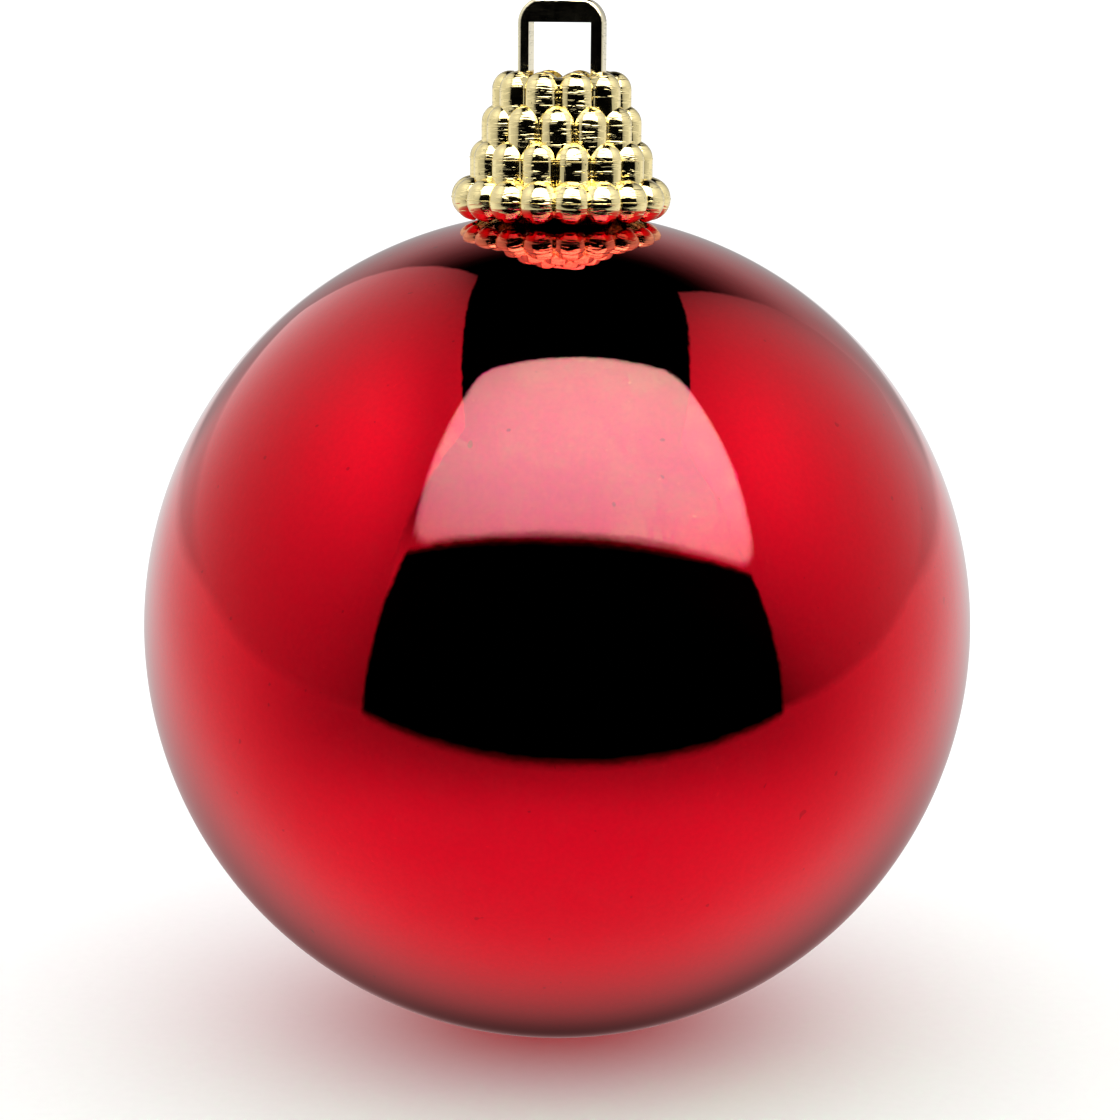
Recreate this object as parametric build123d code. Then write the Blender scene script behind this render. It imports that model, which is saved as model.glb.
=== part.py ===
# Glass ball ornament: a blown ball, a tiered crown cap on its neck, and a loop whose prongs grip the neck.
# Millimetres, +Z up. The origin is the hanging eye: the middle of the underside of the loop's top bar.
# The loop stands in the XZ plane.
import os
from math import sqrt

from build123d import *

# Blown ball and its neck
BALL_DIAMETER = 80.0
GLASS_WALL = 0.7
NECK_DIAMETER = 10.4
NECK_WALL = 0.75
NECK_ROOT_FILLET = 1.2
NECK_RIM_ROUND = 0.25

# Crown cap: a row of beads, then three tiers of domed ribs, each narrower than the one below it.
# A tier's step is how much further out its ribs stand than those of the tier above.
UPPER_TIER_WALL = 1.34
UPPER_TIER_RISE = 3.1
UPPER_TIER_RIBS = 10
UPPER_TIER_TURN = 28.9
MIDDLE_TIER_STEP = 1.0
MIDDLE_TIER_RISE = 3.3
MIDDLE_TIER_RIBS = 12
MIDDLE_TIER_TURN = 10.0
LOWER_TIER_STEP = 1.1
LOWER_TIER_RISE = 5.5
LOWER_TIER_RIBS = 14
LOWER_TIER_TURN = 22.8
BEAD_ROW_STEP = 1.75
BEAD_DIAMETER = 4.1
BEAD_COUNT = 18
BEAD_ROW_TURN = 0.2
RIB_DIAMETER = 3.5
GROOVE_DEPTH = 1.0
SKIRT_WALL = 0.9
PLATE_THICKNESS = 1.0
PLATE_RECESS = 0.6
RECESS_WALL = 0.3

# Hanging loop and its two prongs. The legs stand inside the line of the neck's bore.
LEG_INSET = 0.3
LEG_THICKNESS = 1.15
LOOP_DEPTH = 2.0
TOP_BAR_THICKNESS = 2.3
LOOP_CORNER_RADIUS = 2.4
LOOP_EDGE_ROUND = 0.4
EYE_HEIGHT = 5.1
PRONG_THICKNESS = 0.75
PRONG_WIDTH = 1.4
PRONG_LENGTH = 11.0
PAD_LENGTH = 2.4
PAD_CHAMFER = 0.3

# Clearances between pieces
BEADS_ABOVE_BALL = 0.15
NECK_FIT = 0.06
RIM_GAP = 0.05
SLOT_GAP = 0.12
PAD_GAP = 0.07

# Each row's turn is how far its first rib or bead stands from the front, -Y, towards +X, in degrees
FRONT = 90

# Radii that follow from the sizes above
BALL_RADIUS = BALL_DIAMETER / 2
NECK_RADIUS = NECK_DIAMETER / 2
BORE_RADIUS = NECK_RADIUS - NECK_WALL
SOCKET_RADIUS = NECK_RADIUS + NECK_FIT
RIB_RADIUS = RIB_DIAMETER / 2
UPPER_TIER_RADIUS = SOCKET_RADIUS + UPPER_TIER_WALL
MIDDLE_TIER_RADIUS = UPPER_TIER_RADIUS + MIDDLE_TIER_STEP
LOWER_TIER_RADIUS = MIDDLE_TIER_RADIUS + LOWER_TIER_STEP
BEAD_ROW_RADIUS = LOWER_TIER_RADIUS + BEAD_ROW_STEP
BEAD_RADIUS = BEAD_DIAMETER / 2
BEAD_RING = BEAD_ROW_RADIUS - BEAD_RADIUS
LOOP_HALF_WIDTH = BORE_RADIUS - LEG_INSET
PRONG_INSIDE = LOOP_HALF_WIDTH - PRONG_THICKNESS
PAD_RADIUS = BORE_RADIUS - PAD_GAP
SLOT_INSIDE = PRONG_INSIDE - SLOT_GAP
SLOT_OUTSIDE = PAD_RADIUS + SLOT_GAP
SLOT_WIDTH = PRONG_WIDTH + 2 * SLOT_GAP
RECESS_RADIUS = sqrt(LOOP_HALF_WIDTH**2 + (LOOP_DEPTH / 2) ** 2) + RECESS_WALL

# Heights, worked down from the hanging eye at zero
PLATE_TOP = -EYE_HEIGHT
PLATE_UNDERSIDE = PLATE_TOP - PLATE_THICKNESS
UPPER_TIP = PLATE_TOP + PLATE_RECESS
MIDDLE_TIP = UPPER_TIP - UPPER_TIER_RISE
LOWER_TIP = MIDDLE_TIP - MIDDLE_TIER_RISE
BEAD_HEIGHT = LOWER_TIP - LOWER_TIER_RISE
BALL_CENTRE = BEAD_HEIGHT - sqrt((BALL_RADIUS + BEADS_ABOVE_BALL + BEAD_RADIUS) ** 2 - BEAD_RING**2)
NECK_TOP = PLATE_UNDERSIDE - RIM_GAP
SOCKET_MOUTH = LOWER_TIP - RIB_RADIUS - SKIRT_WALL
PRONG_TIP = PLATE_TOP - PRONG_LENGTH


def upright(radius, low, high):
    """A cylinder about the ornament's axis, between two heights."""
    return Pos(0, 0, low) * Cylinder(radius, high - low, align=(Align.CENTER, Align.CENTER, Align.MIN))


def glass_ball():
    """Thin blown sphere that runs into an open neck with a softened rim."""
    ball = Pos(0, 0, BALL_CENTRE) * Sphere(BALL_RADIUS)
    outside = ball + upright(NECK_RADIUS, BALL_CENTRE, NECK_TOP)
    root = outside.edges().filter_by(lambda edge: edge.is_closed).sort_by(Axis.Z)[0]
    outside = fillet(root, NECK_ROOT_FILLET)
    hollow = Pos(0, 0, BALL_CENTRE) * Sphere(BALL_RADIUS - GLASS_WALL)
    hollow += upright(BORE_RADIUS, BALL_CENTRE, NECK_TOP)
    glass = outside - hollow
    rim = glass.edges().filter_by(lambda edge: edge.is_closed).group_by(Axis.Z)[-1]
    return fillet(rim, NECK_RIM_ROUND)


def domed_ribs(radius, count, turn, foot, tip):
    """A ring of upright ribs with round tops, standing from foot to tip."""
    shoulder = tip - RIB_RADIUS
    rib = upright(RIB_RADIUS, foot, shoulder) + Pos(0, 0, shoulder) * Sphere(RIB_RADIUS)
    ring = PolarLocations(radius - RIB_RADIUS, count, start_angle=turn - FRONT)
    return [place * rib for place in ring]


def tier(radius, count, turn, foot, tip):
    """One tier of the crown: its ribs and the round core behind them."""
    core = upright(radius - GROOVE_DEPTH, foot, tip - RIB_RADIUS)
    return [core] + domed_ribs(radius, count, turn, foot, tip)


def bead_row():
    """The lowest row of the crown: a ring of beads on a round core."""
    core = upright(BEAD_RING, BEAD_HEIGHT - BEAD_RADIUS / 2, BEAD_HEIGHT + BEAD_RADIUS / 2)
    ring = PolarLocations(BEAD_RING, BEAD_COUNT, start_angle=BEAD_ROW_TURN - FRONT)
    return [core] + [place * Sphere(BEAD_RADIUS) for place in Pos(0, 0, BEAD_HEIGHT) * ring]


def crown_hollow():
    """Space under the plate: the socket for the neck, then two wider steps down to the open skirt."""
    skirt = upright(BEAD_ROW_RADIUS - GROOVE_DEPTH - SKIRT_WALL, BEAD_HEIGHT - BEAD_DIAMETER, BEAD_HEIGHT)
    step = upright(LOWER_TIER_RADIUS - GROOVE_DEPTH - SKIRT_WALL, BEAD_HEIGHT, SOCKET_MOUTH)
    return [skirt, step, upright(SOCKET_RADIUS, SOCKET_MOUTH, PLATE_UNDERSIDE)]


def plate_slots():
    """Two slots through the top plate, wide enough for the prongs and their pads."""
    length = SLOT_OUTSIDE - SLOT_INSIDE
    middle = (SLOT_OUTSIDE + SLOT_INSIDE) / 2
    slot = Box(length, SLOT_WIDTH, PLATE_THICKNESS * 2)
    height = (PLATE_TOP + PLATE_UNDERSIDE) / 2
    return [Pos(side * middle, 0, height) * slot for side in (-1, 1)]


def crown_cap():
    """Tiered crown, one hollow moulding closed on top by a recessed plate with two slots."""
    pieces = bead_row()
    pieces += tier(LOWER_TIER_RADIUS, LOWER_TIER_RIBS, LOWER_TIER_TURN, BEAD_HEIGHT, LOWER_TIP)
    pieces += tier(MIDDLE_TIER_RADIUS, MIDDLE_TIER_RIBS, MIDDLE_TIER_TURN, LOWER_TIP - RIB_DIAMETER, MIDDLE_TIP)
    pieces += tier(UPPER_TIER_RADIUS, UPPER_TIER_RIBS, UPPER_TIER_TURN, MIDDLE_TIP - RIB_DIAMETER, UPPER_TIP)
    plate = upright(UPPER_TIER_RADIUS - GROOVE_DEPTH, PLATE_UNDERSIDE, PLATE_TOP)
    recess = upright(RECESS_RADIUS, PLATE_TOP, UPPER_TIP + RIB_RADIUS)
    crown = plate.fuse(*pieces)
    return crown.cut(recess, *crown_hollow(), *plate_slots())


def prong(side):
    """Springy prong below the loop's leg, with a pad at its end that bears on the neck's bore."""
    stem = Pos(side * (PRONG_INSIDE + PRONG_THICKNESS / 2), 0, PLATE_TOP - PRONG_LENGTH / 2) * Box(
        PRONG_THICKNESS, PRONG_WIDTH, PRONG_LENGTH
    )
    reach = PAD_RADIUS - PRONG_INSIDE
    pad = Pos(side * (PRONG_INSIDE + reach / 2), 0, PRONG_TIP + PAD_LENGTH / 2) * Box(reach, PRONG_WIDTH, PAD_LENGTH)
    outer_ends = pad.edges().filter_by(Axis.Y).group_by(Axis.X)[0 if side < 0 else -1]
    pad = chamfer(outer_ends, PAD_CHAMFER)
    pad &= upright(PAD_RADIUS, PRONG_TIP, PRONG_TIP + PAD_LENGTH)
    return stem + pad


def hanger_loop():
    """Flat-faced loop with a thick top bar and two legs that stand on the plate, and the prongs below."""
    height = EYE_HEIGHT + TOP_BAR_THICKNESS
    outline = Pos(0, TOP_BAR_THICKNESS - height / 2) * Rectangle(2 * LOOP_HALF_WIDTH, height)
    outline = fillet(outline.vertices().group_by(Axis.Y)[-1], LOOP_CORNER_RADIUS)
    loop = extrude(Plane.XZ * outline, LOOP_DEPTH / 2, both=True)
    rounded = loop.edges().filter_by(Plane.XZ).filter_by(lambda edge: edge.center().Z > PLATE_TOP)
    loop = fillet(rounded, LOOP_EDGE_ROUND)
    opening = 2 * (LOOP_HALF_WIDTH - LEG_THICKNESS)
    eye = Pos(0, 0, -EYE_HEIGHT / 2) * Box(opening, LOOP_DEPTH * 2, EYE_HEIGHT)
    return loop - eye + prong(-1) + prong(1)


def write_parts():
    """Writes one STEP file for each piece."""
    os.makedirs("parts", exist_ok=True)
    for make in (glass_ball, crown_cap, hanger_loop):
        export_step(make(), f"parts/{make.__name__}.step")


write_parts()
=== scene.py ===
"""Glass ball ornament: the finished ball, crown cap and hanging loop, built round the packed frame.

The file is an add-on run as a script: sizes and colours are properties, each piece has its own operator,
and main() calls them in order. Lengths are in metres, in the frame's own axes, with the hanging eye at
the origin.
"""
import math

import bmesh
import bpy
from mathutils import Matrix, Vector


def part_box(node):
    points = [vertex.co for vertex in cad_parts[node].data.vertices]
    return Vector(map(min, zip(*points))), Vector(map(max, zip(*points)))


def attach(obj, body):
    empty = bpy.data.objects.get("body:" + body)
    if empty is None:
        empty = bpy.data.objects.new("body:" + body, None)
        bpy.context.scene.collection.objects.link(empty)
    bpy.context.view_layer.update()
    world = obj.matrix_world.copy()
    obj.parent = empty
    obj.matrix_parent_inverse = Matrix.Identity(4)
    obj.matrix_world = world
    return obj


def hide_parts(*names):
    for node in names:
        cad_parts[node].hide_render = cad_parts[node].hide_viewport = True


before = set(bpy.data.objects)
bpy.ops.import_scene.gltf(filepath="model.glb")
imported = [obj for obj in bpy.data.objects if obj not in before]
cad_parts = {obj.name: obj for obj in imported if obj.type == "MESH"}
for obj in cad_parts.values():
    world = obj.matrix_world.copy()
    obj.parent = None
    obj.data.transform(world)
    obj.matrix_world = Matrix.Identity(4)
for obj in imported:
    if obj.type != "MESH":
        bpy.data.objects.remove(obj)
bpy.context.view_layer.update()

bl_info = {
    "name": "Glass ball ornament",
    "version": (1, 0, 0),
    "blender": (4, 5, 0),
    "location": "3D View > Sidebar > Ornament",
    "description": "Builds a mirror-bright blown ball with a tiered crown cap and a hanging loop",
    "category": "Add Mesh",
}

MM = 0.001
FULL_TURN = 2 * math.pi
BALL_LOW, BALL_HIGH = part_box("glass_ball")
CROWN_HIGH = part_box("crown_cap")[1]
WELD = 0.0002 * MM
PARTING_RISE = 0.05 * MM
PARTING_HEIGHT = 0.12 * MM
PAD_ROUND = 0.3 * MM

# How finely round shapes and panels are divided.
LATHE_STEPS = 192
OUTSIDE_STEPS = 150
INSIDE_STEPS = 110
FILLET_STEPS = 10
LIP_STEPS = 6
CYLINDER_SIDES = 128
FEATURE_SEGMENTS = 40
FEATURE_RINGS = 20
PANEL_CELLS = 48
TENT_SEGMENTS = 144
TENT_RINGS = 72
FLOOR_SIDES = 96

# The studio: distances from the ball's middle, and the ball's own shade on the paper, in degrees.
WALL_DISTANCE = 2.0
OPENING_DISTANCE = 0.7 * WALL_DISTANCE
GLARE_GAP = 0.02
TENT_RADIUS = 12.0
FLOOR_RADIUS = 60.0
SHADE_DROP = 38
SHADE_REACH = 60


# ---------------------------------------------------------------- sizes and colours


def length(name, description, millimetres):
    """A length property, given in millimetres and kept in metres."""
    return bpy.props.FloatProperty(
        name=name, description=description, default=millimetres * MM, unit="LENGTH", precision=5
    )


def turn(name, description, degrees):
    """An angle property, given in degrees."""
    return bpy.props.FloatProperty(
        name=name, description=description, default=math.radians(degrees), subtype="ANGLE"
    )


def colour(name, description, red, green, blue):
    """A colour property."""
    return bpy.props.FloatVectorProperty(
        name=name, description=description, default=(red, green, blue), subtype="COLOR", min=0.0, max=1.0
    )


def count(name, description, number):
    """A whole number of repeated features."""
    return bpy.props.IntProperty(name=name, description=description, default=number, min=3)


class BallSizes(bpy.types.PropertyGroup):
    """Sizes of the blown ball and its neck."""

    radius: length("Radius", "Outside radius of the ball", (BALL_HIGH.x - BALL_LOW.x) / 2 / MM)
    wall: length("Wall", "Thickness of the blown glass", 0.7)
    neck_radius: length("Neck radius", "Outside radius of the neck", 5.2)
    neck_wall: length("Neck wall", "Thickness of the glass in the neck", 0.75)
    root_fillet: length("Neck root", "Radius where the ball runs into the neck", 1.2)
    rim_round: length("Rim round", "Radius on the edges of the neck's rim", 0.25)


class CrownSizes(bpy.types.PropertyGroup):
    """Sizes of the tiered crown cap."""

    upper_radius: length("Upper tier", "Radius over the ribs of the upper tier", 6.6)
    middle_radius: length("Middle tier", "Radius over the ribs of the middle tier", 7.6)
    lower_radius: length("Lower tier", "Radius over the ribs of the lower tier", 8.7)
    upper_rise: length("Upper rise", "Height from the middle tier's tips to the upper ones", 3.1)
    middle_rise: length("Middle rise", "Height from the lower tier's tips to the middle ones", 3.3)
    lower_rise: length("Lower rise", "Height from the bead row's middle to the lower tips", 5.5)
    rib_radius: length("Rib radius", "Radius of a rib and of its dome", 1.75)
    bead_radius: length("Bead radius", "Radius of a bead", 2.05)
    bead_ring: length("Bead ring", "Radius of the circle through the beads' middles", 8.4)
    groove: length("Groove", "Depth from the crest of a rib to the core behind it", 1.0)
    skirt_wall: length("Skirt wall", "Thickness of the hollow skirt", 0.9)
    plate: length("Plate", "Thickness of the top plate", 1.0)
    recess: length("Recess", "Depth of the plate below the upper tips", 0.6)
    recess_radius: length("Recess radius", "Radius of the recess over the plate", 4.569)
    socket_radius: length("Socket radius", "Radius of the socket that takes the neck", 5.26)
    slot_inside: length("Slot inside", "Distance from the axis to a slot's inner end", 3.28)
    slot_outside: length("Slot outside", "Distance from the axis to a slot's outer end", 4.5)
    slot_width: length("Slot width", "Width of a slot", 1.64)
    upper_ribs: count("Upper ribs", "Ribs in the upper tier", 10)
    middle_ribs: count("Middle ribs", "Ribs in the middle tier", 12)
    lower_ribs: count("Lower ribs", "Ribs in the lower tier", 14)
    beads: count("Beads", "Beads in the lowest row", 18)
    upper_turn: turn("Upper turn", "Angle from the front to the first upper rib", 28.9)
    middle_turn: turn("Middle turn", "Angle from the front to the first middle rib", 10.0)
    lower_turn: turn("Lower turn", "Angle from the front to the first lower rib", 22.8)
    bead_turn: turn("Bead turn", "Angle from the front to the first bead", 0.2)


class LoopSizes(bpy.types.PropertyGroup):
    """Sizes of the hanging loop and its prongs."""

    half_width: length("Half width", "Distance from the axis to the outside of a leg", 4.15)
    depth: length("Depth", "Depth of the loop from front to back", 2.0)
    leg: length("Leg", "Thickness of a leg", 1.15)
    top_bar: length("Top bar", "Thickness of the top bar", 2.3)
    corner: length("Corner", "Radius of the two outer corners", 2.4)
    edge_round: length("Edge round", "Radius along the outer edges", 0.4)
    eye_height: length("Eye height", "Height of the opening over the plate", 5.1)
    prong_thickness: length("Prong thickness", "Thickness of a prong", 0.75)
    prong_width: length("Prong width", "Width of a prong", 1.4)
    prong_length: length("Prong length", "Length of a prong below the legs", 11.0)
    pad_reach: length("Pad reach", "Distance from the axis to a pad's face", 4.38)
    pad_length: length("Pad length", "Length of a pad", 2.4)


class Finishes(bpy.types.PropertyGroup):
    """Colours of the finishes."""

    lacquer: colour("Lacquer", "Red lacquer over the silvered glass", 0.7, 0.0003, 0.0125)
    silvering: colour("Silvering", "Silvered inside of the ball", 0.78, 0.77, 0.75)
    crown_gold: colour("Crown gold", "Plated gold of the crown", 1.0, 0.84, 0.42)
    loop_gold: colour("Loop gold", "Plated gold of the loop", 0.95, 0.86, 0.6)
    paper: colour("Paper", "White paper that the ornament stands on", 0.93, 0.93, 0.93)


class Studio(bpy.types.PropertyGroup):
    """Where the camera and the light stand."""

    azimuth: turn("Azimuth", "Camera's bearing from the front, towards +X", 14.0)
    elevation: turn("Elevation", "Camera's height over the ball's middle, as an angle", 11.9)
    distance: length("Distance", "From the camera to the ball's middle", 282.0)
    aim_rise: length("Aim rise", "Height over the ball's middle that the camera looks at", 6.3)
    aim_side: length("Aim side", "Distance beside the ball's middle that the camera looks at", 0.22)
    roll: turn("Roll", "How far the camera leans about its own line of sight", 0.5)
    lens: bpy.props.FloatProperty(name="Lens", description="Focal length, on a 36 mm sensor", default=92.7)


# ---------------------------------------------------------------- modelling helpers


def adopt(name):
    """The object that was just added, named, with its place moved into its mesh."""
    made = bpy.context.object
    made.name = made.data.name = name
    bpy.ops.object.transform_apply(location=True, rotation=True, scale=True)
    return made


def clear_selection():
    bpy.ops.object.select_all(action="DESELECT")


def make_active(piece):
    clear_selection()
    piece.select_set(True)
    bpy.context.view_layer.objects.active = piece


def pick(piece, kind, test):
    """In edit mode, selects only the vertices, edges or faces whose middle passes the test."""
    bpy.ops.mesh.select_mode(type=kind)
    bpy.ops.mesh.select_all(action="DESELECT")
    mesh = bmesh.from_edit_mesh(piece.data)
    for part in {"VERT": mesh.verts, "EDGE": mesh.edges, "FACE": mesh.faces}[kind]:
        if kind == "VERT":
            middle = part.co
        elif kind == "EDGE":
            middle = (part.verts[0].co + part.verts[1].co) / 2
        else:
            middle = part.calc_center_median()
        if test(middle):
            part.select_set(True)
    mesh.select_flush_mode()
    bmesh.update_edit_mesh(piece.data)


def edit(piece):
    make_active(piece)
    bpy.ops.object.mode_set(mode="EDIT")


def done():
    bpy.ops.object.mode_set(mode="OBJECT")


def cylinder(name, radius, low, high):
    """An upright cylinder about the ornament's axis, between two heights."""
    clear_selection()
    bpy.ops.mesh.primitive_cylinder_add(
        vertices=CYLINDER_SIDES,
        radius=radius,
        depth=high - low,
        location=(0, 0, (low + high) / 2),
        end_fill_type="NGON",
    )
    return adopt(name)


def sphere(name, radius, height):
    """A sphere on the ornament's axis, for a rib's dome or a bead."""
    clear_selection()
    bpy.ops.mesh.primitive_uv_sphere_add(
        segments=FEATURE_SEGMENTS, ring_count=FEATURE_RINGS, radius=radius, location=(0, 0, height)
    )
    return adopt(name)


def block(name, low, high):
    """A box between two corners."""
    clear_selection()
    low, high = Vector(low), Vector(high)
    bpy.ops.mesh.primitive_cube_add(size=1, location=(low + high) / 2, scale=high - low)
    return adopt(name)


def combine(piece, other, operation):
    """Adds the other solid to the piece, or cuts it away, and removes the other."""
    make_active(piece)
    cut = piece.modifiers.new("combine", "BOOLEAN")
    cut.solver = "MANIFOLD"
    cut.operation = operation
    cut.object = other
    bpy.ops.object.modifier_apply(modifier=cut.name)
    bpy.data.objects.remove(other)
    if not piece.data.polygons:
        raise RuntimeError(f"{piece.name} was lost in a {operation.lower()}")


def placed_copy(piece, matrix):
    """A copy of the piece with a mesh of its own, moved by the matrix."""
    copy = piece.copy()
    copy.data = piece.data.copy()
    copy.data.transform(matrix)
    bpy.context.scene.collection.objects.link(copy)
    return copy


def tidy_mesh(piece):
    """Merges doubles and points every face outwards."""
    edit(piece)
    bpy.ops.mesh.select_all(action="SELECT")
    bpy.ops.mesh.remove_doubles(threshold=WELD)
    bpy.ops.mesh.normals_make_consistent(inside=False)
    done()


def check_closed(piece):
    """Stops the build if the piece's surface has a hole or a stray face."""
    mesh = bmesh.new()
    mesh.from_mesh(piece.data)
    open_edges = sum(1 for edge in mesh.edges if len(edge.link_faces) != 2)
    volume = mesh.calc_volume(signed=True)
    mesh.free()
    if open_edges or volume <= 0:
        raise RuntimeError(f"{piece.name} isn't a closed solid: {open_edges} open edges, volume {volume:g}")


def smooth(piece, degrees):
    """Smooth shading, with creases sharper than the angle left crisp."""
    make_active(piece)
    bpy.ops.object.shade_smooth_by_angle(angle=math.radians(degrees))


# ---------------------------------------------------------------- materials


class Shader:
    """A short way to write a node tree."""

    def __init__(self, name):
        self.material = bpy.data.materials.new(name)
        self.material.use_nodes = True
        self.nodes = self.material.node_tree.nodes
        self.links = self.material.node_tree.links
        self.nodes.clear()
        self.output = self.nodes.new("ShaderNodeOutputMaterial")

    def add(self, kind, inputs=None, **settings):
        """A node with its settings and its inputs, where an input is a value or another node's output."""
        node = self.nodes.new(f"ShaderNode{kind}")
        for key, value in settings.items():
            setattr(node, key, value)
        for key, value in (inputs or {}).items():
            if isinstance(value, bpy.types.NodeSocket):
                self.links.new(value, node.inputs[key])
            else:
                node.inputs[key].default_value = value
        return node

    def place(self):
        return self.add("TexCoord").outputs["Object"]

    def noise(self, scale, detail=4.0, roughness=0.5, where=None):
        inputs = {"Vector": where or self.place(), "Scale": scale, "Detail": detail, "Roughness": roughness}
        return self.add("TexNoise", inputs).outputs["Fac"]

    def remap(self, value, low, high, to_low, to_high):
        inputs = {"Value": value, "From Min": low, "From Max": high, "To Min": to_low, "To Max": to_high}
        return self.add("MapRange", inputs, clamp=True).outputs["Result"]

    def blend(self, factor, first, second):
        node = self.add("Mix", data_type="RGBA")
        self.links.new(factor, node.inputs["Factor"])
        for key, value in (("A", first), ("B", second)):
            socket = next(s for s in node.inputs if s.name == key and s.type == "RGBA")
            if isinstance(value, bpy.types.NodeSocket):
                self.links.new(value, socket)
            else:
                socket.default_value = value
        return next(s for s in node.outputs if s.type == "RGBA")

    def bump(self, height, strength, distance, normal=None):
        inputs = {"Height": height, "Strength": strength, "Distance": distance}
        if normal:
            inputs["Normal"] = normal
        return self.add("Bump", inputs).outputs["Normal"]

    def finish(self, surface):
        self.links.new(surface, self.output.inputs["Surface"])
        return self.material


def rgba(triple, shade=1.0):
    return (triple[0] * shade, triple[1] * shade, triple[2] * shade, 1.0)


def lacquered_glass(lacquer):
    """Clear red lacquer over silvered glass: a coloured mirror with faint grain, pinholes, dust and waves."""
    s = Shader("red_silvered_glass")
    depth = s.remap(s.noise(35.0, 2.0), 0.3, 0.7, 0.0, 1.0)
    tint = s.blend(depth, rgba(lacquer, 0.95), rgba(lacquer))
    grain = s.remap(s.noise(2200.0, 2.0), 0.35, 0.65, 0.0, 0.08)
    grained = s.blend(grain, tint, rgba(lacquer, 0.4))
    pinholes = s.remap(s.noise(1100.0, 0.0), 0.85, 0.87, 0.0, 0.3)
    pitted = s.blend(pinholes, grained, rgba(lacquer, 0.15))
    dust = s.remap(s.noise(2300.0, 0.0), 0.845, 0.86, 0.0, 0.35)
    dusted = s.blend(dust, pitted, (0.8, 0.02, 0.03, 1.0))
    haze = s.remap(s.noise(60.0, 5.0), 0.35, 0.75, 0.012, 0.035)
    waviness = s.bump(s.noise(28.0, 1.0), 0.02, 0.4 * MM)
    swell = s.bump(s.noise(120.0, 2.0), 0.045, 0.4 * MM, waviness)
    ripple = s.bump(s.noise(500.0, 2.0), 0.03, 0.2 * MM, swell)
    marks = s.bump(s.noise(1400.0, 2.0), 0.012, 0.02 * MM, ripple)
    body = s.add(
        "BsdfPrincipled",
        {
            "Base Color": dusted,
            "Metallic": 1.0,
            "Roughness": haze,
            "Normal": marks,
            "Coat Weight": 1.0,
            "Coat Roughness": 0.02,
            "Coat IOR": 1.115,
        },
    )
    return s.finish(body.outputs["BSDF"])


def silvered_inside(silvering):
    """Silvering on the inside of the ball: a grey mirror film, blotched where it is thin."""
    s = Shader("silvered_inside")
    blotches = s.remap(s.noise(140.0, 6.0), 0.4, 0.65, 0.0, 1.0)
    film = s.blend(blotches, rgba(silvering, 0.7), rgba(silvering))
    body = s.add(
        "BsdfPrincipled",
        {"Base Color": film, "Metallic": 1.0, "Roughness": s.remap(blotches, 0.0, 1.0, 0.3, 0.16)},
    )
    return s.finish(body.outputs["BSDF"])


def plated_gold(name, gold, tooling):
    """Vacuum-plated gold on a glossy moulding: the mould's turning marks run round it, with fine pits."""
    s = Shader(name)
    cast = s.remap(s.noise(500.0, 3.0), 0.3, 0.7, 0.0, 1.0)
    tint = s.blend(cast, rgba(gold, 0.92), rgba(gold))
    pits = s.remap(s.noise(2600.0, 2.0), 0.68, 0.74, 0.0, 1.0)
    pitted = s.blend(pits, tint, rgba(gold, 0.4))
    polish = s.remap(s.noise(900.0, 4.0), 0.3, 0.75, 0.06, 0.14)
    stretch = s.add("VectorMath", {0: s.place(), 1: (420.0, 420.0, 3000.0)}, operation="MULTIPLY")
    turning = s.noise(1.0, 2.0, where=stretch.outputs["Vector"])
    peel = s.bump(s.noise(1100.0, 2.0), 0.1, 0.05 * MM)
    marks = s.bump(s.remap(turning, 0.52, 0.72, 0.0, 1.0), tooling, 0.05 * MM, peel)
    body = s.add(
        "BsdfPrincipled", {"Base Color": pitted, "Metallic": 1.0, "Roughness": polish, "Normal": marks}
    )
    return s.finish(body.outputs["BSDF"])


def studio_paper(paper):
    """White paper with a very faint tooth."""
    s = Shader("studio_paper")
    tooth = s.remap(s.noise(900.0, 4.0), 0.3, 0.7, 0.0, 1.0)
    sheet = s.blend(tooth, rgba(paper, 0.985), rgba(paper))
    body = s.add(
        "BsdfPrincipled", {"Base Color": sheet, "Roughness": 0.9, "Specular IOR Level": 0.1}
    )
    return s.finish(body.outputs["BSDF"])


def panel_glow(name, tint, see_through=False):
    """Light of a studio panel: as bright, as tinted with painted red light thrown back from the ball into its
    shade, and as solid at each point as the panel's own attributes say."""
    s = Shader(name)
    glow, blush, cover = (
        s.add("Attribute", attribute_name=key, attribute_type="GEOMETRY").outputs["Fac"]
        for key in ("glow", "blush", "cover")
    )
    # painted red bounce light from the ball, mixed into the panel's light where its shade is painted
    bounce_tinted = s.blend(blush, tint, (1.0, 0.45, 0.45, 1.0))
    light = s.add("Emission", {"Color": bounce_tinted, "Strength": glow}).outputs["Emission"]
    clear = s.add("BsdfTransparent").outputs["BSDF"]
    if see_through:
        light = s.add("AddShader", {0: clear, 1: light}).outputs["Shader"]
    return s.finish(s.add("MixShader", {0: cover, 1: clear, 2: light}).outputs["Shader"])


# ---------------------------------------------------------------- pieces


def arc(centre, radius, start, end, steps):
    """Points along an arc in the XZ plane, angles in degrees from +X towards +Z."""
    angles = [math.radians(start + (end - start) * i / steps) for i in range(steps + 1)]
    return [Vector((centre[0] + radius * math.cos(a), 0, centre[1] + radius * math.sin(a))) for a in angles]


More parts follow.
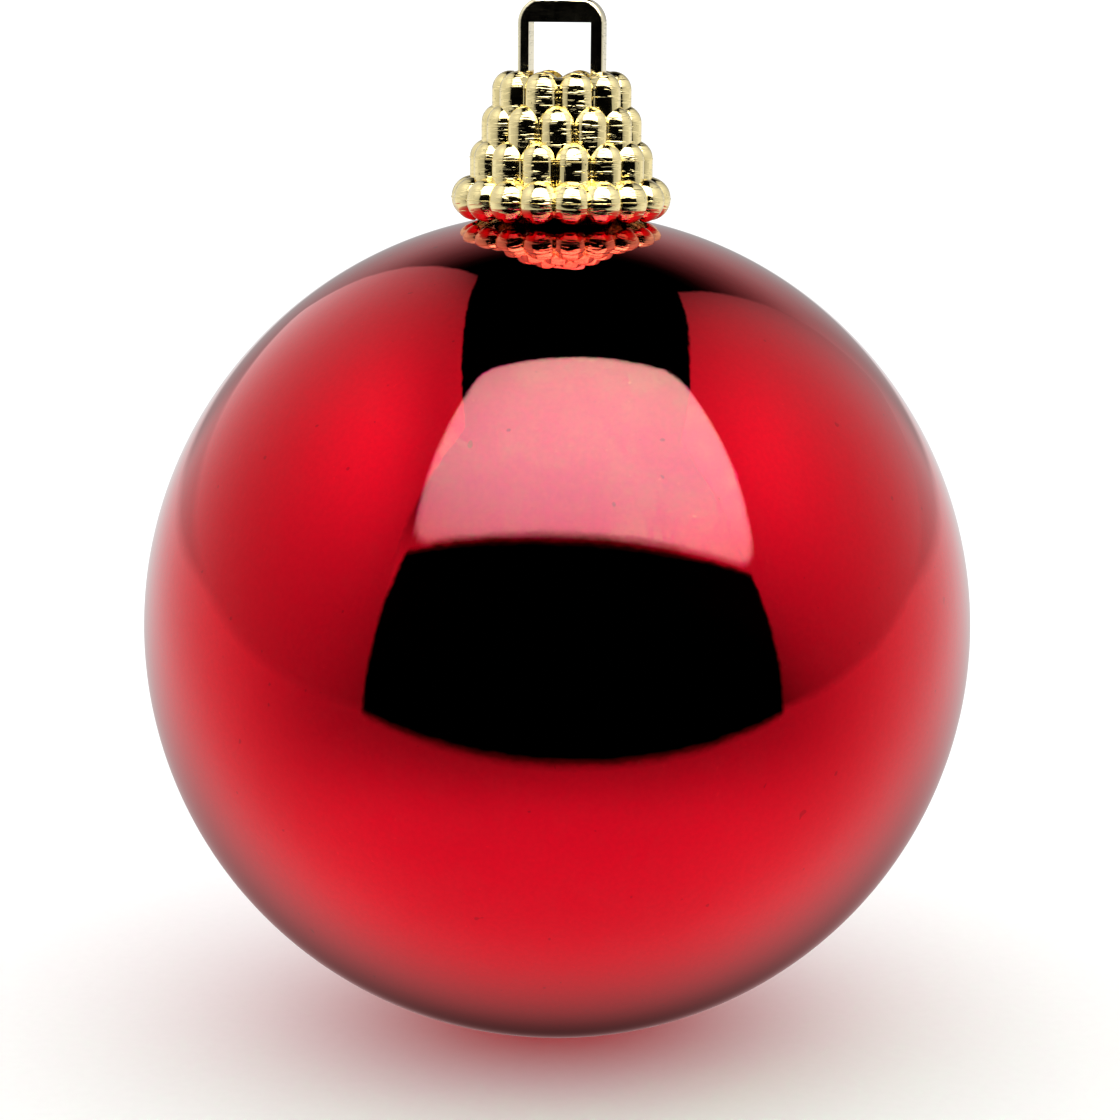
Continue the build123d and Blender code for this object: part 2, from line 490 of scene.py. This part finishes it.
def ball_outline(size, centre, rim):
    """Half section of the glass: up the outside from the bottom, over the rim, and down the inside."""
    neck, bore = size.neck_radius, size.neck_radius - size.neck_wall
    fillet = size.root_fillet
    spread = neck + fillet
    fillet_up = math.sqrt((size.radius + fillet) ** 2 - spread**2)
    meet = math.degrees(math.atan2(fillet_up, spread))
    inner = size.radius - size.wall
    bore_meet = math.degrees(math.acos(bore / inner))
    lip = size.rim_round
    return (
        arc((0, centre), size.radius, -90, meet, OUTSIDE_STEPS)
        + arc((spread, centre + fillet_up), fillet, 180 + meet, 180, FILLET_STEPS)[1:]
        + arc((neck - lip, rim - lip), lip, 0, 90, LIP_STEPS)
        + arc((bore + lip, rim - lip), lip, 90, 180, LIP_STEPS)
        + arc((0, centre), inner, bore_meet, -90, INSIDE_STEPS)
    )


def lathe(name, outline):
    """Draws the outline by extruding one vertex from point to point, then spins it round the axis."""
    clear_selection()
    bpy.ops.mesh.primitive_plane_add(size=MM, location=outline[0])
    made = adopt(name)
    edit(made)
    bpy.ops.mesh.select_all(action="SELECT")
    bpy.ops.mesh.merge(type="CENTER")
    for here, there in zip(outline, outline[1:]):
        bpy.ops.mesh.extrude_vertices_move(TRANSFORM_OT_translate={"value": there - here})
    bpy.ops.mesh.select_all(action="SELECT")
    bpy.ops.mesh.spin(steps=LATHE_STEPS, angle=FULL_TURN, center=(0, 0, 0), axis=(0, 0, 1))
    done()
    tidy_mesh(made)
    return made


def blow_ball(size, finishes):
    """The glass ball and its neck, one wall all round, silvered inside."""
    rim = BALL_HIGH.z
    centre = BALL_LOW.z + size.radius
    ball = lathe("blown_ball", ball_outline(size, centre, rim))
    check_closed(ball)
    smooth(ball, 40)
    ball.data.materials.append(lacquered_glass(finishes.lacquer))
    ball.data.materials.append(silvered_inside(finishes.silvering))
    middle = Vector((0, 0, centre))
    for face in ball.data.polygons:
        inwards = face.normal.dot(face.center - middle) < 0
        in_bore = face.normal.x * face.center.x + face.normal.y * face.center.y < 0
        face.material_index = int(inwards or (in_bore and face.center.z > middle.z))
    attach(ball, "ball")
    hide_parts("glass_ball")
    return ball


def parting_line(feature, radius, height):
    """Leaves the fine raised line of the mould's joint round a rib or bead."""
    clear_selection()
    bpy.ops.mesh.primitive_cylinder_add(
        vertices=FEATURE_SEGMENTS,
        radius=radius + PARTING_RISE,
        depth=PARTING_HEIGHT,
        location=(0, 0, height),
        end_fill_type="NGON",
    )
    line = adopt("parting_line")

    def on_rim(co):
        return abs(abs(co.z - height) - PARTING_HEIGHT / 2) < WELD and co.xy.length > radius

    edit(line)
    pick(line, "EDGE", on_rim)
    bpy.ops.mesh.bevel(offset=PARTING_RISE * 0.6, segments=2, affect="EDGES")
    done()
    combine(feature, line, "UNION")


def domed_rib(radius, foot, tip):
    """One upright rib on the axis: a half sphere whose open edge is drawn down and closed."""
    shoulder = tip - radius
    rib = sphere("rib", radius, shoulder)
    edit(rib)
    pick(rib, "VERT", lambda co: co.z < shoulder - WELD)
    bpy.ops.mesh.delete(type="VERT")
    pick(rib, "VERT", lambda co: co.z < shoulder + WELD)
    bpy.ops.mesh.extrude_region_move(TRANSFORM_OT_translate={"value": (0, 0, foot - shoulder)})
    bpy.ops.mesh.edge_face_add()
    done()
    tidy_mesh(rib)
    return rib


def bead(radius, height):
    """One bead on the axis, with the mould's parting line round its middle."""
    made = sphere("bead", radius, height)
    parting_line(made, radius, height)
    return made


def ring_of(crown, feature, ring, number, first):
    """Adds copies of the feature to the crown, evenly round a ring, and removes the pattern piece."""
    for i in range(number):
        angle = first + FULL_TURN * i / number
        place = Matrix.Rotation(angle, 4, "Z") @ Matrix.Translation((0, -ring, 0))
        combine(crown, placed_copy(feature, place), "UNION")
    bpy.data.objects.remove(feature)


def add_tier(crown, size, radius, number, first, foot, tip, parted=False):
    """One tier of ribs with the round core behind them. A parted tier has the mould's parting line at its
    shoulder."""
    shoulder = tip - size.rib_radius
    combine(crown, cylinder("core", radius - size.groove, foot, shoulder), "UNION")
    rib = domed_rib(size.rib_radius, foot, tip)
    if parted:
        parting_line(rib, size.rib_radius, shoulder)
    ring_of(crown, rib, radius - size.rib_radius, number, first)


def mould_crown(size, finishes):
    """The tiered crown, hollow below and closed on top by the recessed plate with its slots."""
    upper_tip = CROWN_HIGH.z
    plate_top = upper_tip - size.recess
    underside = plate_top - size.plate
    middle_tip = upper_tip - size.upper_rise
    lower_tip = middle_tip - size.middle_rise
    bead_height = lower_tip - size.lower_rise
    socket_mouth = lower_tip - size.rib_radius - size.skirt_wall
    crown = cylinder("tiered_crown", size.upper_radius - size.groove, underside, plate_top)
    half = size.bead_radius / 2
    combine(crown, cylinder("bead_core", size.bead_ring, bead_height - half, bead_height + half), "UNION")
    ring_of(crown, bead(size.bead_radius, bead_height), size.bead_ring, size.beads, size.bead_turn)
    reach = 2 * size.rib_radius
    add_tier(
        crown,
        size,
        size.lower_radius,
        size.lower_ribs,
        size.lower_turn,
        bead_height,
        lower_tip,
        parted=True,
    )
    add_tier(
        crown, size, size.middle_radius, size.middle_ribs, size.middle_turn, lower_tip - reach, middle_tip
    )
    add_tier(
        crown, size, size.upper_radius, size.upper_ribs, size.upper_turn, middle_tip - reach, upper_tip
    )
    skirt = size.bead_ring + size.bead_radius - size.groove - size.skirt_wall
    combine(crown, cylinder("skirt", skirt, bead_height - 2 * size.bead_radius, bead_height), "DIFFERENCE")
    step = size.lower_radius - size.groove - size.skirt_wall
    combine(crown, cylinder("step", step, bead_height - half, socket_mouth), "DIFFERENCE")
    combine(crown, cylinder("socket", size.socket_radius, socket_mouth - half, underside), "DIFFERENCE")
    combine(
        crown, cylinder("recess", size.recess_radius, plate_top, upper_tip + size.rib_radius), "DIFFERENCE"
    )
    for side in (-1, 1):
        ends = sorted((side * size.slot_inside, side * size.slot_outside))
        low = (ends[0], -size.slot_width / 2, underside - size.plate)
        high = (ends[1], size.slot_width / 2, plate_top + size.plate)
        combine(crown, block("slot", low, high), "DIFFERENCE")
    tidy_mesh(crown)
    check_closed(crown)
    smooth(crown, 32)
    crown.data.materials.clear()
    crown.data.materials.append(plated_gold("gold_plated_crown", finishes.crown_gold, 0.8))
    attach(crown, "crown")
    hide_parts("crown_cap")
    return crown


def prong(size, side, top):
    """A springy prong with the pad that bears on the neck's bore, its edges softened."""
    inside = size.half_width - size.prong_thickness
    low = top - size.prong_length
    half = size.prong_width / 2
    ends = sorted((side * inside, side * size.half_width))
    stem = block("prong", (ends[0], -half, low), (ends[1], half, top + size.leg / 2))
    pad_ends = sorted((side * inside, side * size.pad_reach))
    pad = block("pad", (pad_ends[0], -half, low), (pad_ends[1], half, low + size.pad_length))
    edit(pad)
    pick(pad, "EDGE", lambda co: abs(co.y) < WELD and abs(abs(co.x) - size.pad_reach) < WELD)
    bpy.ops.mesh.bevel(offset=PAD_ROUND, segments=4, affect="EDGES")
    done()
    bore_face = cylinder("bore_face", size.pad_reach, low - size.leg, low + 2 * size.pad_length)
    combine(pad, bore_face, "INTERSECT")
    combine(stem, pad, "UNION")
    return stem


def mould_loop(size, finishes):
    """The hanging loop: rounded outside, square-cornered inside, with two prongs below its legs."""
    foot, half = -size.eye_height, size.depth / 2
    loop = block("hanging_loop", (-size.half_width, -half, foot), (size.half_width, half, size.top_bar))
    edit(loop)
    pick(loop, "EDGE", lambda co: abs(co.y) < WELD and co.z > 0)
    bpy.ops.mesh.bevel(offset=size.corner, segments=12, affect="EDGES")
    pick(loop, "EDGE", lambda co: abs(abs(co.y) - half) < WELD and co.z > foot + WELD)
    bpy.ops.mesh.bevel(offset=size.edge_round, segments=5, affect="EDGES")
    done()
    opening = size.half_width - size.leg
    eye = block("eye", (-opening, -size.depth, foot - size.leg), (opening, size.depth, 0))
    combine(loop, eye, "DIFFERENCE")
    combine(loop, prong(size, -1, foot), "UNION")
    combine(loop, prong(size, 1, foot), "UNION")
    tidy_mesh(loop)
    check_closed(loop)
    smooth(loop, 32)
    loop.data.materials.clear()
    loop.data.materials.append(plated_gold("gold_plated_loop", finishes.loop_gold, 0.25))
    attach(loop, "hanger")
    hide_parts("hanger_loop")
    return loop


# ---------------------------------------------------------------- studio


def towards(azimuth, elevation, distance):
    """A point seen from the ball's middle, by bearing from the camera and height, in degrees."""
    a, e = math.radians(azimuth), math.radians(elevation)
    return Vector((math.sin(a) * math.cos(e), -math.cos(a) * math.cos(e), math.sin(e))) * distance


def through(first, middle, last, t):
    """The smooth curve through three values, at 0, a half and 1."""
    return first * (1 - t) * (1 - 2 * t) + 4 * middle * t * (1 - t) + last * t * (2 * t - 1)


def ease(low, high, value):
    """0 below the low value, 1 above the high one, and smooth between them."""
    t = min(max((value - low) / (high - low), 0.0), 1.0)
    return t * t * (3 - 2 * t)


def only_mirrored(panel, finish):
    """Makes a panel show in reflections alone, and keeps it out of the object."""
    panel.data.materials.append(finish)
    panel.visible_camera = panel.visible_diffuse = panel.visible_shadow = False
    panel.visible_transmission = panel.visible_volume_scatter = False
    return panel


def light_only(panel, *pieces):
    """Links a panel's light to the named pieces, as the glass and the gold each need their own exposure."""
    lit = bpy.data.collections.new(f"lit_by_{panel.name}")
    for piece in pieces:
        lit.objects.link(bpy.data.objects[piece])
    panel.light_linking.receiver_collection = lit


def light_panel(name, finish, corners, rows, fades=(0.01, 0.01, 0.01, 0.01), rounding=0.0, pool=None):
    """A flat studio panel. Its corners run round from the lower left, and its rows give how bright it is
    at the bottom, middle and top. The fades say how far it thins out from the left, right, bottom and top,
    the rounding is counted in fades, and the pool is a spot of light on it: place, strength and spread."""
    clear_selection()
    bpy.ops.mesh.primitive_grid_add(x_subdivisions=PANEL_CELLS, y_subdivisions=PANEL_CELLS, size=1)
    panel = bpy.context.object
    panel.name = panel.data.name = name
    glow = panel.data.attributes.new("glow", "FLOAT", "POINT")
    cover = panel.data.attributes.new("cover", "FLOAT", "POINT")
    left, right, bottom, top = fades
    for vertex in panel.data.vertices:
        u, v = vertex.co.x + 0.5, vertex.co.y + 0.5
        bright = through(*(through(*row, u) for row in rows), v)
        if pool:
            off = math.hypot(u - pool[0], v - pool[1])
            bright += pool[2] * math.exp(-((off / pool[3]) ** 2))
        glow.data[vertex.index].value = max(bright, 0.0)
        in_u, in_v = min(u / left, (1 - u) / right), min(v / bottom, (1 - v) / top)
        inside = min(in_u, in_v)
        if rounding > 0 and max(in_u, in_v) < rounding:
            inside = rounding - math.hypot(rounding - in_u, rounding - in_v)
        cover.data[vertex.index].value = ease(0, 1, inside)
        shares = ((1 - u) * (1 - v), u * (1 - v), u * v, (1 - u) * v)
        vertex.co = sum((c * w for c, w in zip(corners, shares)), Vector())
    return only_mirrored(panel, finish)


def wall_panel(name, finish, bearing, near, far, feet, height, rows, pool):
    """An upright side wall at the wall distance, square to a bearing. It runs between two places along
    itself, and each end has its own foot. Places, feet and height are shares of the wall distance."""
    out = towards(bearing, 0, WALL_DISTANCE)
    along = Vector((0, 0, 1)).cross(out)
    up = Vector((0, 0, WALL_DISTANCE))
    corners = [
        out + along * near + up * feet[0],
        out + along * far + up * feet[1],
        out + along * far + up * height,
        out + along * near + up * height,
    ]
    return light_panel(name, finish, corners, rows, pool=pool)


def own_shade(way):
    """How deep in the ball's own shade the paper is in one direction, from 0 to 1."""
    if way.z > 0:
        return 0.0
    along = math.degrees(math.atan2(-way.z, way.y)) - SHADE_DROP
    across = math.degrees(math.asin(way.x))
    if along < 0:
        along *= 1.6
    return 1 - ease(0, SHADE_REACH, math.hypot(along, across))


def tent_glow(way):
    """How bright the tent is in one direction: a grey backdrop, a dark ceiling, and pale paper below that
    darkens towards the camera and in the ball's own shade at the rear."""
    rise = math.degrees(math.asin(way.z))
    if rise > 0:
        return (0.42 + 0.25 * ease(0.4, 0.57, abs(way.x))) * (1 - ease(20, 47, rise))
    to_front = ease(-0.35, 0.75, -way.y)
    paper = 0.8 + 0.13 * ease(0.3, 0.8, abs(way.x)) + 0.21 * ease(20, 60, -rise)
    paper -= to_front * 0.54 * (1 - ease(14, 44, -rise))
    return paper * (1 - 0.9 * own_shade(way))


def light_tent(finish):
    """The white tent behind the panels. Below the horizon it shows painted paper, with the ball's painted
    shade and painted red bounce light in it.
    """
    clear_selection()
    bpy.ops.mesh.primitive_uv_sphere_add(
        segments=TENT_SEGMENTS, ring_count=TENT_RINGS, radius=TENT_RADIUS
    )
    tent = bpy.context.object
    tent.name = tent.data.name = "light_tent"
    glow = tent.data.attributes.new("glow", "FLOAT", "POINT")
    blush = tent.data.attributes.new("blush", "FLOAT", "POINT")
    cover = tent.data.attributes.new("cover", "FLOAT", "POINT")
    for vertex in tent.data.vertices:
        way = vertex.co.normalized()
        glow.data[vertex.index].value = max(tent_glow(way), 0.0)
        # painted red bounce light from the ball, as deep as its painted shade
        blush.data[vertex.index].value = own_shade(way)
        cover.data[vertex.index].value = 1
    return only_mirrored(tent, finish)


def set_panels(centre, azimuth):
    """The light tent, the softbox above the camera, a wall on each side and the camera's dark opening."""
    white = panel_glow("white_panel", (1.0, 1.0, 1.0, 1.0))
    on_gold = panel_glow("softbox_on_gold", (1.0, 0.97, 0.9, 1.0), see_through=True)
    on_glass = panel_glow("softbox_on_glass", (0.0225, 1.0, 0.3, 1.0), see_through=True)
    left_wall = wall_panel(
        "left_wall",
        white,
        bearing=-98.2,
        near=1.25,
        far=-1.85,
        feet=(-0.43, 0.46),
        height=2.75,
        rows=((0.16, 0.74, 0.88), (0.58, 0.73, 0.47), (0.85, 0.58, 0.12)),
        pool=(0.29, 0.43, 0.54, 0.22),
    )
    right_wall = wall_panel(
        "right_wall",
        white,
        bearing=100.5,
        near=-1.05,
        far=1.16,
        feet=(-0.4, 0.31),
        height=1.97,
        rows=((-0.2, 0.68, 0.5), (0.74, 0.9, 0.3), (1.0, 0.73, 0.2)),
        pool=(0.32, 0.5, 0.3, 0.22),
    )
    frame_corners = ((-44, 26.5), (57.5, 18.5), (89, 66), (-74, 73))
    soft_edge = (0.03, 0.03, 0.05, 0.03)
    softbox = light_panel(
        "softbox",
        on_gold,
        [towards(*corner, WALL_DISTANCE) for corner in frame_corners],
        rows=((2.4, 4.0, 3.0), (4.0, 4.5, 4.2), (3.6, 4.0, 3.8)),
        fades=soft_edge,
        rounding=3.0,
    )
    light_only(softbox, "tiered_crown", "hanging_loop")
    glare = light_panel(
        "softbox_glare",
        on_glass,
        [towards(*corner, WALL_DISTANCE - GLARE_GAP) for corner in frame_corners],
        rows=((12, 45, 20), (47, 67, 60), (36, 52, 44)),
        fades=soft_edge,
        rounding=3.0,
    )
    light_only(glare, "blown_ball")
    opening_corners = ((-53, -15), (63, -15), (56, 19.5), (-45, 27))
    opening = light_panel(
        "camera_opening",
        white,
        [towards(*corner, OPENING_DISTANCE) for corner in opening_corners],
        rows=((0, 0, 0), (0, 0, 0), (0, 0, 0)),
        fades=(0.012, 0.012, 0.06, 0.05),
    )
    place = Matrix.Translation(centre) @ Matrix.Rotation(azimuth, 4, "Z")
    for panel in (left_wall, right_wall, softbox, glare, opening, light_tent(white)):
        panel.data.transform(place)


def lay_paper(floor, paper):
    """The pale floor, at the height of the ball's lowest point when nothing is pulled."""
    clear_selection()
    bpy.ops.mesh.primitive_circle_add(
        vertices=FLOOR_SIDES, radius=FLOOR_RADIUS, fill_type="NGON", location=(0, 0, floor)
    )
    sheet = adopt("floor")
    sheet.visible_glossy = False
    sheet.data.materials.append(studio_paper(paper))


def set_world():
    """Even white light from all round."""
    scene = bpy.context.scene
    scene.world = scene.world or bpy.data.worlds.new("white_room")
    scene.world.use_nodes = True
    background = scene.world.node_tree.nodes["Background"]
    background.inputs["Color"].default_value = (1, 1, 1, 1)
    background.inputs["Strength"].default_value = 1.3
    scene.view_settings.view_transform = "Standard"


def set_camera(studio, centre):
    """The camera, on its bearing and height round the ball's middle."""
    a, e = studio.azimuth, studio.elevation
    away = Vector((math.sin(a) * math.cos(e), -math.cos(a) * math.cos(e), math.sin(e)))
    aside = Vector((math.cos(a), math.sin(a), 0))
    target = centre + aside * studio.aim_side + Vector((0, 0, studio.aim_rise))
    bpy.ops.object.camera_add(location=centre + away * studio.distance)
    camera = bpy.context.object
    level = (target - camera.location).to_track_quat("-Z", "Y").to_matrix()
    camera.rotation_euler = (level @ Matrix.Rotation(studio.roll, 3, "Z")).to_euler()
    camera.data.lens = studio.lens
    camera.data.sensor_width = 36.0
    camera.data.clip_start = 0.005
    bpy.context.scene.camera = camera


# ---------------------------------------------------------------- operators and panel


class ORNAMENT_OT_blow_ball(bpy.types.Operator):
    """Build the blown glass ball with its neck"""

    bl_idname = "ornament.blow_ball"
    bl_label = "Blow Ball"
    bl_options = {"REGISTER", "UNDO"}

    def execute(self, context):
        blow_ball(context.scene.ornament_ball, context.scene.ornament_finishes)
        return {"FINISHED"}


class ORNAMENT_OT_mould_crown(bpy.types.Operator):
    """Build the tiered crown cap"""

    bl_idname = "ornament.mould_crown"
    bl_label = "Mould Crown"
    bl_options = {"REGISTER", "UNDO"}

    def execute(self, context):
        mould_crown(context.scene.ornament_crown, context.scene.ornament_finishes)
        return {"FINISHED"}


class ORNAMENT_OT_mould_loop(bpy.types.Operator):
    """Build the hanging loop with its prongs"""

    bl_idname = "ornament.mould_loop"
    bl_label = "Mould Loop"
    bl_options = {"REGISTER", "UNDO"}

    def execute(self, context):
        mould_loop(context.scene.ornament_loop, context.scene.ornament_finishes)
        return {"FINISHED"}


class ORNAMENT_OT_set_studio(bpy.types.Operator):
    """Lay the paper, stand the light panels round the ball and place the camera"""

    bl_idname = "ornament.set_studio"
    bl_label = "Set Studio"
    bl_options = {"REGISTER", "UNDO"}

    def execute(self, context):
        studio = context.scene.ornament_studio
        centre = Vector((0, 0, BALL_LOW.z + context.scene.ornament_ball.radius))
        lay_paper(BALL_LOW.z, context.scene.ornament_finishes.paper)
        set_panels(centre, studio.azimuth)
        set_world()
        set_camera(studio, centre)
        return {"FINISHED"}


OPERATORS = (
    ORNAMENT_OT_blow_ball,
    ORNAMENT_OT_mould_crown,
    ORNAMENT_OT_mould_loop,
    ORNAMENT_OT_set_studio,
)

SETTINGS = {
    "ornament_ball": BallSizes,
    "ornament_crown": CrownSizes,
    "ornament_loop": LoopSizes,
    "ornament_finishes": Finishes,
    "ornament_studio": Studio,
}


class ORNAMENT_PT_sidebar(bpy.types.Panel):
    """Lists the ornament's operators and its sizes and colours"""

    bl_idname = "ORNAMENT_PT_sidebar"
    bl_label = "Glass Ball Ornament"
    bl_space_type = "VIEW_3D"
    bl_region_type = "UI"
    bl_category = "Ornament"

    def draw(self, context):
        for operator in OPERATORS:
            self.layout.operator(operator.bl_idname)
        for name, group in SETTINGS.items():
            box = self.layout.box()
            box.label(text=group.__doc__)
            for key in group.__annotations__:
                box.prop(getattr(context.scene, name), key)


CLASSES = (*SETTINGS.values(), *OPERATORS, ORNAMENT_PT_sidebar)


def register():
    for item in CLASSES:
        bpy.utils.register_class(item)
    for name, group in SETTINGS.items():
        setattr(bpy.types.Scene, name, bpy.props.PointerProperty(type=group))


def unregister():
    for name in SETTINGS:
        delattr(bpy.types.Scene, name)
    for item in reversed(CLASSES):
        bpy.utils.unregister_class(item)


def main():
    """Builds the ornament and its studio."""
    register()
    bpy.ops.ornament.blow_ball()
    bpy.ops.ornament.mould_crown()
    bpy.ops.ornament.mould_loop()
    bpy.ops.ornament.set_studio()


if __name__ == "__main__":
    main()
